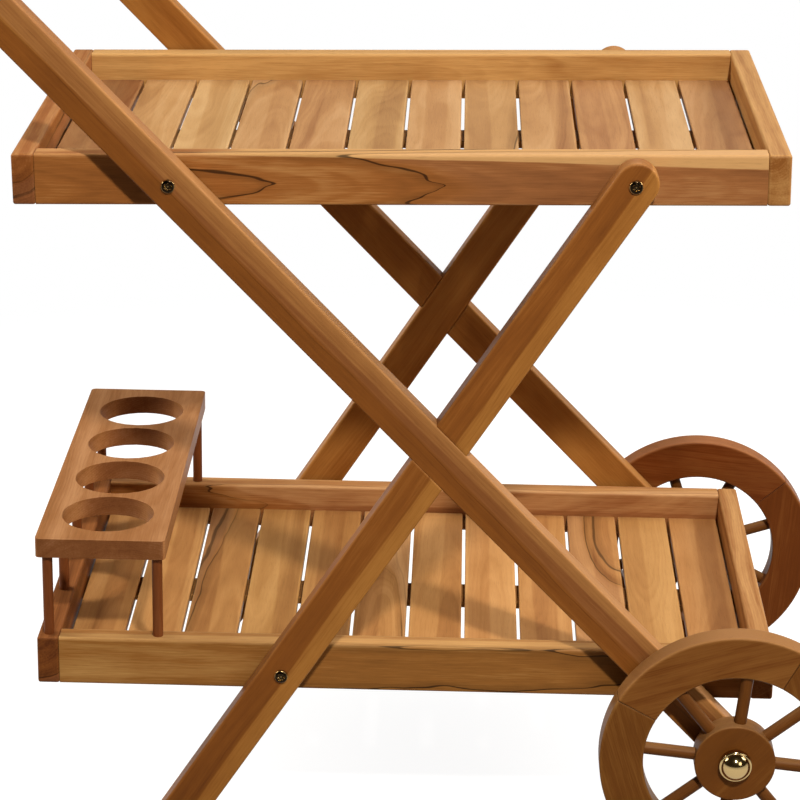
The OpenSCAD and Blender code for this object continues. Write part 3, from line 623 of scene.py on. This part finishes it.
def makeBoard():
    # The board's face is one cell per hole, each a sheet drawn from its round hole out to its own
    # rectangle: point(u, v) = hole(u) + (border(u) - hole(u)) * v. Cells meet edge to edge and are welded.
    g = board
    halfW, r = g["width"] / 2, g["corner"]
    stops = np.r_[0, 0.3, 0.6, 1.0] * r
    origin, ux, uz = trayAxes("lower")

    def sideMarks(a, b):
        # places along one side of a cell, closer together where the board's corners are round
        inner = np.linspace(a + r, b - r, 9)
        return np.unique(np.round(np.r_[a + stops, inner, b - stops], 6))

    points, quads, count = [], [], 0
    for i in range(g["holes"]):
        cy = (i - (g["holes"] - 1) / 2) * g["pitch"]
        y0 = -g["len"] / 2 if i == 0 else cy - g["pitch"] / 2
        y1 = g["len"] / 2 if i == g["holes"] - 1 else cy + g["pitch"] / 2
        xs, ys = sideMarks(-halfW, halfW), sideMarks(y0, y1)
        border = np.concatenate([np.stack(np.broadcast_arrays(x, y), 1) for x, y in (
            (xs[:-1], y0), (halfW, ys[:-1]), (xs[:0:-1], y1), (-halfW, ys[:0:-1]))])
        away = border - (0, cy)
        rim = (0, cy) + away / np.linalg.norm(away, axis=1)[:, None] * g["hole"]
        # border points in a corner of the board move onto its round
        for sx in (-1, 1):
            for sy, yEnd in ((-1, -g["len"] / 2), (1, g["len"] / 2)):
                c = np.array([sx * (halfW - r), yEnd - sy * r])
                d = border - c
                inside = (d[:, 0] * sx > -1e-6) & (d[:, 1] * sy > -1e-6)
                n = np.linalg.norm(d, axis=1)[:, None]
                border = np.where(inside[:, None], c + d / np.maximum(n, 1e-9) * r, border)
        v = np.array([0.0, 0.06, 0.5, 1.0])  # a narrow first row keeps the hole's edge crisp
        sheet = rim[None] + (border - rim)[None] * v[:, None, None]
        m, n = sheet.shape[:2]
        flat = sheet.reshape(-1, 2)
        both = np.concatenate([np.c_[flat, np.full(len(flat), z)] for z in (g["thick"], 0.0)])
        a, u = np.meshgrid(np.arange(m - 1), np.arange(n), indexing="ij")
        w = (u + 1) % n
        top = np.stack([a * n + u, (a + 1) * n + u, (a + 1) * n + w, a * n + w], -1).reshape(-1, 4)
        bottom = top[:, ::-1] + m * n
        # walls stand in the hole and along the board's own border
        k = np.arange(n)
        j = (k + 1) % n
        wall = np.stack([k, j, j + m * n, k + m * n], 1)
        edgeMid = (border[k] + border[j]) / 2
        free = (np.abs(edgeMid[:, 0]) > halfW - r) | (np.abs(edgeMid[:, 1]) > g["len"] / 2 - r)
        o = (m - 1) * n
        outer = np.stack([o + k, o + k + m * n, o + j + m * n, o + j], 1)[free]
        points.append(both)
        quads.append(np.concatenate([top, bottom, wall, outer]) + count)
        count += len(both)
    p, quads = np.concatenate(points), np.concatenate(quads)
    # weld: points that share a place to a hundredth of a millimetre become one
    _, keep, where = np.unique(np.round(p, 2), axis=0, return_index=True, return_inverse=True)
    p, quads = p[keep], where.ravel()[quads]
    base = origin + (ux * g["x"] + uz * g["lift"]) * mm
    world = base + (ux * p[:, :1] + yAxis * p[:, 1:2] + uz * p[:, 2:]) * mm
    shell = {"points": world, "quads": quads, "caps": [], "edge": np.zeros(len(p)), "sharpCaps": []}
    withGrain(shell, base, yAxis, ux)
    piece = makePiece("bottleBoard", [look(shell, seed=71.2, tone=0.0, pith=(0.02, -0.07, 0.02))], boardWood,
                      "cart", ["bottle_board"])
    soften = piece.modifiers.new("easedEdges", "BEVEL")
    soften.width, soften.segments = g["ease"] * mm, 3
    soften.limit_method, soften.angle_limit, soften.harden_normals = "ANGLE", math.radians(40), True


makeBoard()
postPlaces = [(-359, -213), (-359, 213), (-359, -102), (-359, 102), (-359, 0), (-249, -213), (-249, 213)]
postShells = []
postD, postLen = board["postD"] * mm, (board["lift"] + 2 * board["tenon"]) * mm
_, postAcross, postUp = trayAxes("lower")
for i, (x, y) in enumerate(postPlaces):
    shell = beam(inTray("lower", x, y, board["lift"] / 2), postUp, postAcross, postLen, postD, postD,
                 postD / 2, cutEase, 6)
    postShells.append(look(shell, seed=80 + 1.9 * i, tone=0.06 * math.sin(3.1 * i),
                           pith=(0.002, 0.012, 0.01)))
makePiece("bottlePosts", postShells, postWood, "cart", ["bottle_posts"])
print("bottle board made")


wheel = {"x": 302.903, "z": 134.0, "r": 134.0, "rimW": 43.5, "rimIn": 257.6, "rimOut": 283.6, "rimEase": 2.0,
         "seam": 0.6, "hubR": 40.2, "hubIn": 261.1, "hubOut": 287.1, "hubEase": 1.5, "spokeY": 274.1,
         "spokeD": 12.5, "spokeIn": 2.0, "spokes": 8, "felloes": 4, "stations": 31, "seamEase": 0.6,
         "seamDarkening": 3, "hubBore": 6.2, "grainY": 270.0, "firstSpoke": {"front": 38.0, "back": 17.0},
         "felloeTonesWithTopLight": (0.12, 0.0, 0.05, 0.02), "rimLooks": {"front": (90, 0, 0), "back": (101, -0.07, 0.4)}}
cap = {"r": 16.25, "skirt": 7.0, "domeR": 14.5, "domeH": 9.5, "bevel": 1.0, "inY": 287.4, "bore": 6.0}


def makeWheel(name):
    # A rim of felloes, spokes, a hub and a brass cap, all about one axle along Y and riding one body.
    side = -1 if name == "front" else 1
    g = wheel
    centre = np.array([g["x"], 0, g["z"]]) * mm
    grainAt = centre + yAxis * side * g["grainY"] * mm
    first, body = g["firstSpoke"][name], name + "_wheel"
    seed, darker, redder = g["rimLooks"][name]

    def ray(degrees):
        # direction in the wheel's plane, counted from the right as seen from the front
        a = math.radians(degrees)
        return np.array([math.cos(a), 0, math.sin(a)])

    # felloes: the rim's section carried round its share of a turn, its grain straight along the chord. The
    # seams stand midway between spokes, and the felloes' rounded ends beside them are drawn darker.
    mid = (g["r"] - g["rimW"] / 2) * mm
    share, rimT = 360 / g["felloes"], (g["rimOut"] - g["rimIn"]) * mm
    shells = []
    for k in range(g["felloes"]):
        a0 = first + 180 / g["spokes"] + share * k
        span = math.radians(share) - g["seam"] * mm / mid
        s, inset = easedStations(span * mid, g["seamEase"] * mm, g["seamEase"] * mm)
        n = len(s) // 2
        fill = np.linspace(s[n - 1], s[n], g["stations"] + 2)[1:-1]
        s, inset = np.r_[s[:n], fill, s[n:]], np.r_[inset[:n], np.zeros(len(fill)), inset[n:]]
        angle = math.radians(a0) + g["seam"] * mm / mid / 2 + s / mid
        radial = np.stack([np.cos(angle), np.zeros_like(angle), np.sin(angle)], 1)
        at = centre + radial * mid + yAxis * side * (g["rimIn"] + g["rimOut"]) / 2 * mm
        shell = carry(boxCorners(g["rimW"] * mm, rimT, g["rimEase"] * mm), at, radial, yAxis, inset, 4)
        shell["edge"] -= g["seamDarkening"] * np.repeat(inset > 0, len(shell["edge"]) // len(inset))
        out, chord = ray(a0 + share / 2), ray(a0 + share / 2 + 90)
        withGrain(shell, grainAt + out * mid, chord, out)
        # the first felloe, at the top of the wheel at rest, is painted paler as painted light from above; the
        # others differ a little
        shells.append(look(shell, seed=seed + 2.3 * k, tone=g["felloeTonesWithTopLight"][k] + darker,
                           warm=0.06 * math.cos(3 * k) + redder, pith=(-0.06, 0.02, 0.01)))
    makePiece(name + "Rim", shells, wheelWood, body, [name + "_rim"])

    # spokes
    inner, outer = (g["hubR"] - g["spokeIn"]) * mm, (g["r"] - g["rimW"] + g["spokeIn"]) * mm
    shells, spokeD = [], g["spokeD"] * mm
    for k in range(g["spokes"]):
        d = ray(first + 360 / g["spokes"] * k)
        at = centre + d * (inner + outer) / 2 + yAxis * side * g["spokeY"] * mm
        shell = beam(at, d, yAxis, outer - inner, spokeD, spokeD, spokeD / 2, cutEase, 6)
        shells.append(look(shell, seed=120 + 1.7 * k, tone=0.05 * math.sin(2.9 * k) - 0.15,
                           pith=(0.002, 0.015, 0.01)))
    makePiece(name + "Spokes", shells, wheelWood, body, [name + "_spokes"])

    # hub: a turned disc with a hole for the axle and a quarter round along both rims
    y0, y1, e, r, bore = (g[k] for k in ("hubIn", "hubOut", "hubEase", "hubR", "hubBore"))
    q, flat = np.linspace(0, math.pi / 2, 5), lead / mm
    rows = np.concatenate([
        [(bore, y1), (bore, y0), (bore + 1, y0), (r - e - flat, y0)],
        np.stack([r - e + e * np.sin(q), y0 + e - e * np.cos(q)], 1),
        [(r, y0 + e + flat), (r, y1 - e - flat)],
        np.stack([r - e + e * np.cos(q), y1 - e + e * np.sin(q)], 1),
        [(r - e - flat, y1), (bore + 1, y1)]]) * mm
    shell = turned(rows, centre, yAxis * side, 96, closed=True)
    withGrain(shell, grainAt, ray(first + 10), ray(first + 100))
    makePiece(name + "Hub", [look(shell, seed=140 + side, tone=-0.05, pith=(0.01, 0.06, 0.02))], wheelWood,
              body, [name + "_hub"])

    # brass cap: a bevelled skirt with a dome on it, its edges broken by tenths of a millimetre
    c = cap
    rim, bore, bevel, y, top = c["r"], c["bore"], c["bevel"], c["inY"], c["inY"] + c["skirt"]
    ball = (c["domeR"] ** 2 + c["domeH"] ** 2) / (2 * c["domeH"])
    t = np.linspace(math.asin(c["domeR"] / ball), 0.012, 18)
    rows = np.concatenate([
        [(bore + 0.2, top - 2), (bore + 0.2, y), (bore + 0.6, y), (rim - 0.4, y), (rim - 0.1, y + 0.1),
         (rim, y + 0.4), (rim, top - bevel - 0.4), (rim - 0.06, top - bevel), (rim - 0.3, top - bevel + 0.35),
         (rim - bevel, top - 0.05), (rim - bevel - 0.35, top), (c["domeR"] + 0.3, top)],
        np.stack([ball * np.sin(t), top + ball * (np.cos(t) - 1) + c["domeH"]], 1)]) * mm
    shell = turned(rows, centre, yAxis * side, 96)
    makePiece(name + "Cap", [shell], brass, body, [name + "_cap"])


for wheelName in ("front", "back"):
    makeWheel(wheelName)
print("wheels made")


# each row of a bolt head is painted golden by its share: worn finish and a painted highlight on the rim and
# in the socket
bolt = {"headD": 13.4, "headH": 3.8, "shank": 8.0, "inner": 212.0, "lowA": (234.671, 202.24),
        "lowB": (-147.519, 209.245), "socketR": 3.1, "socketDeep": 1.8,
        "wornAndGlintRows": (0, 0, 0, 0.2, 0.6, 1, 1, 0.6, 0.1, 0, 0, 0.1, 1, 0.5, 0.2, 0.6)}


def makeBolts():
    # Each head is a low dome over a polar grid; inside the star its height drops to the socket's floor:
    # height(r, u) = dome(r) outside the star's radius at u, and dome - depth inside it.
    g, sides = bolt, 48
    headR, headH, shankR, deep = g["headD"] / 2, g["headH"], g["shank"] / 2, g["socketDeep"]
    u = np.linspace(0, 2 * math.pi, sides, endpoint=False)
    star = g["socketR"] * (1 + 0.22 * np.cos(6 * u))
    dome = lambda r: headH * (0.42 + 0.58 * np.sqrt(np.maximum(0.0, 1 - (r / headR) ** 2)))
    rows = [(shankR, g["inner"] - legs["outY"]), (shankR, 0), (headR * 0.97, 0), (headR, 0.15),
            (headR, headH * 0.4)]
    rows += [(headR * f, dome(headR * f)) for f in (0.995, 0.97, 0.92, 0.84, 0.74, 0.64)]
    rows += [(star * 1.06, dome(star * 1.06)), (star, dome(star) - 0.12), (star * 0.96, dome(star) - deep),
             (star * 0.5, headH - deep - 0.2), (star * 0.04, headH - deep - 0.3)]
    radii, height = (np.stack([np.broadcast_to(row[i], sides) for row in rows]) * mm for i in (0, 1))
    quads, caps = tubeFaces(len(rows), sides)
    shells = []
    for side in (-1, 1):
        for x, z in (legs["boltA"], legs["boltB"], g["lowA"], g["lowB"]):
            spin = u + side * x * 0.1
            base = np.array([x, side * legs["outY"], z]) * mm
            points = base + np.stack([radii * np.cos(spin), side * height, radii * np.sin(spin) * -side], -1)
            shells.append({"points": points.reshape(-1, 3), "quads": quads, "caps": caps,
                           "edge": np.repeat(g["wornAndGlintRows"], sides), "sharpCaps": []})
    makePiece("trayBolts", shells, bronzedSteel, "cart", ["tray_bolts"])


makeBolts()
for finish, nodeNames in ((bronzedSteel, ("tray_washers", "front_spacer", "back_spacer")),
                          (insertBrass, ("tray_inserts",)),
                          (plainSteel, ("upper_screws", "lower_screws", "front_axle", "back_axle"))):
    for nodeName in nodeNames:
        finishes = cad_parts[nodeName].data.materials
        finishes.clear()
        finishes.append(finish)
print("bolts made")


floorMesh = bpy.data.meshes.new("studioFloor")
floorMesh.from_pydata([(-9, -9, 0), (9, -9, 0), (9, 9, 0), (-9, 9, 0)], [], [(0, 1, 2, 3)])
putObject("studioFloor", floorMesh)


def anyRay(owner, *kinds):
    # 1 for a ray of any of these kinds, 0 for all others
    path = add(owner, "LightPath").outputs
    seen = path["Is %s Ray" % kinds[0]]
    for kind in kinds[1:]:
        seen = add(owner, "Math", {"operation": "MAXIMUM"}, i0=seen, i1=path["Is %s Ray" % kind])
    return seen


# The floor is a soft grey to the light that falls on it. To the camera and to gloss it is white, less the
# object's own shadow, and far from the object it runs into the white background.
floorPaint, floorShader = newMaterial("paleStudioFloor", Base_Color=linear("#85837f"), Roughness=0.9,
                                      Specular_IOR_Level=0.0)
floorPlace = add(floorPaint, "TexCoord").outputs["Object"]
floorOut = add(floorPaint, "VectorMath", {"operation": "LENGTH"}, i0=floorPlace).outputs["Value"]
faraway = add(floorPaint, "MapRange", {"interpolation_type": "SMOOTHSTEP"}, Value=floorOut, From_Min=0.9,
              From_Max=1.7)
lit = add(floorPaint, "AddShader", i0=floorShader, i1=add(floorPaint, "Emission", Strength=0.93))
whole = add(floorPaint, "MixShader", i0=faraway, i1=lit, i2=add(floorPaint, "Emission", Strength=1.0))
seenRay = anyRay(floorPaint, "Camera", "Glossy", "Transmission")
shown = add(floorPaint, "MixShader", i0=seenRay, i1=floorShader, i2=whole)
floorSurface = floorPaint.node_tree.nodes["Material Output"].inputs["Surface"]
floorPaint.node_tree.links.new(shown.outputs[0], floorSurface)
floorMesh.materials.append(floorPaint)

# The room: white to the camera. Gloss and glass see it too, but under the dark ceiling of a studio.
world = bpy.data.worlds.new("studio")
bpy.context.scene.world = world
world.use_nodes = True
world.node_tree.nodes.clear()
reflected = anyRay(world, "Glossy", "Transmission")
seenWhite = anyRay(world, "Camera", "Glossy", "Transmission")
heading = add(world, "SeparateXYZ", Vector=add(world, "TexCoord").outputs["Generated"]).outputs
high = add(world, "MapRange", {"interpolation_type": "SMOOTHSTEP"}, Value=heading[2], From_Min=0.0,
           From_Max=0.12)
darkRoom = add(world, "Math", {"operation": "MULTIPLY"}, i0=high, i1=reflected)
plain = add(world, "Background", Color=(1, 1, 1, 1), Strength=0.06)
white = add(world, "Background", Color=(1, 1, 1, 1), Strength=1.0)
dim = add(world, "Background", Color=linear("#3a3227"), Strength=1.0)
shownRoom = add(world, "MixShader", i0=darkRoom, i1=white, i2=dim)
add(world, "OutputWorld", Surface=add(world, "MixShader", i0=seenWhite, i1=plain, i2=shownRoom))


def areaLight(name, at, towards, size, power):
    # A round lamp aimed at a point, its size in metres and its power in watts.
    light = bpy.data.lights.new(name, "AREA")
    light.shape, light.size, light.energy = "DISK", size, power
    lamp = putObject(name, light)
    lamp.location = at
    aim = np.asarray(towards, float) - np.asarray(at, float)
    lamp.rotation_euler = Vector(aim.tolist()).to_track_quat("-Z", "Y").to_euler()


def fromFront(right, up):
    # direction of a light, in degrees to the right of the front and up from the floor
    a, b = math.radians(right), math.radians(up)
    return np.array([math.sin(a) * math.cos(b), -math.cos(a) * math.cos(b), math.sin(b)])


target = np.array([0, 0, 0.45])
areaLight("keyLight", target + fromFront(12.5, 41.5) * 3.6, target, 0.22, 121)
areaLight("frontFill", target + fromFront(38, 20) * 3.4, target, 1.2, 14)
areaLight("rightLight", (2.9, 0.4, 2.2), target, 1.8, 98)
areaLight("leftLight", (-2.9, 0.4, 2.2), target, 1.8, 98)
areaLight("backLight", (0.4, 2.7, 3.1), target, 2.0, 24)

# The camera was fitted to points measured in the photograph: its focal length and middle are in pixels, its
# angles in radians and its place in millimetres. It turns by yaw, then pitch, then roll.
view = {"pixels": 800, "sensor": 36, "f": 2829.714, "cx": 400.0, "cy": 330.0, "pitch": 0.32122,
        "yaw": -0.02766, "roll": 0.00517, "at": (43.607, -2813.99, 1426.256)}
cp, sp = math.cos(view["pitch"]), math.sin(view["pitch"])
cy, sy = math.cos(view["yaw"]), math.sin(view["yaw"])
forward = np.array([sy * cp, cy * cp, -sp])
right = np.array([cy, -sy, 0])
down = np.cross(forward, right)
cr, sr = math.cos(view["roll"]), math.sin(view["roll"])
right, down = cr * right + sr * down, -sr * right + cr * down
cameraData = bpy.data.cameras.new("photoCamera")
cameraData.sensor_width = view["sensor"]
cameraData.lens = view["f"] / view["pixels"] * view["sensor"]
cameraData.shift_x = 0.5 - view["cx"] / view["pixels"]
cameraData.shift_y = view["cy"] / view["pixels"] - 0.5
cameraData.clip_start, cameraData.clip_end = 0.05, 60
camera = putObject("photoCamera", cameraData)
turn = np.eye(4)
turn[:3, 0], turn[:3, 1], turn[:3, 2], turn[:3, 3] = right, -down, -forward, np.array(view["at"]) * mm
camera.matrix_world = Matrix(turn.tolist())
bpy.context.scene.camera = camera
bpy.context.scene.view_settings.view_transform = "Standard"
print("light and camera set")
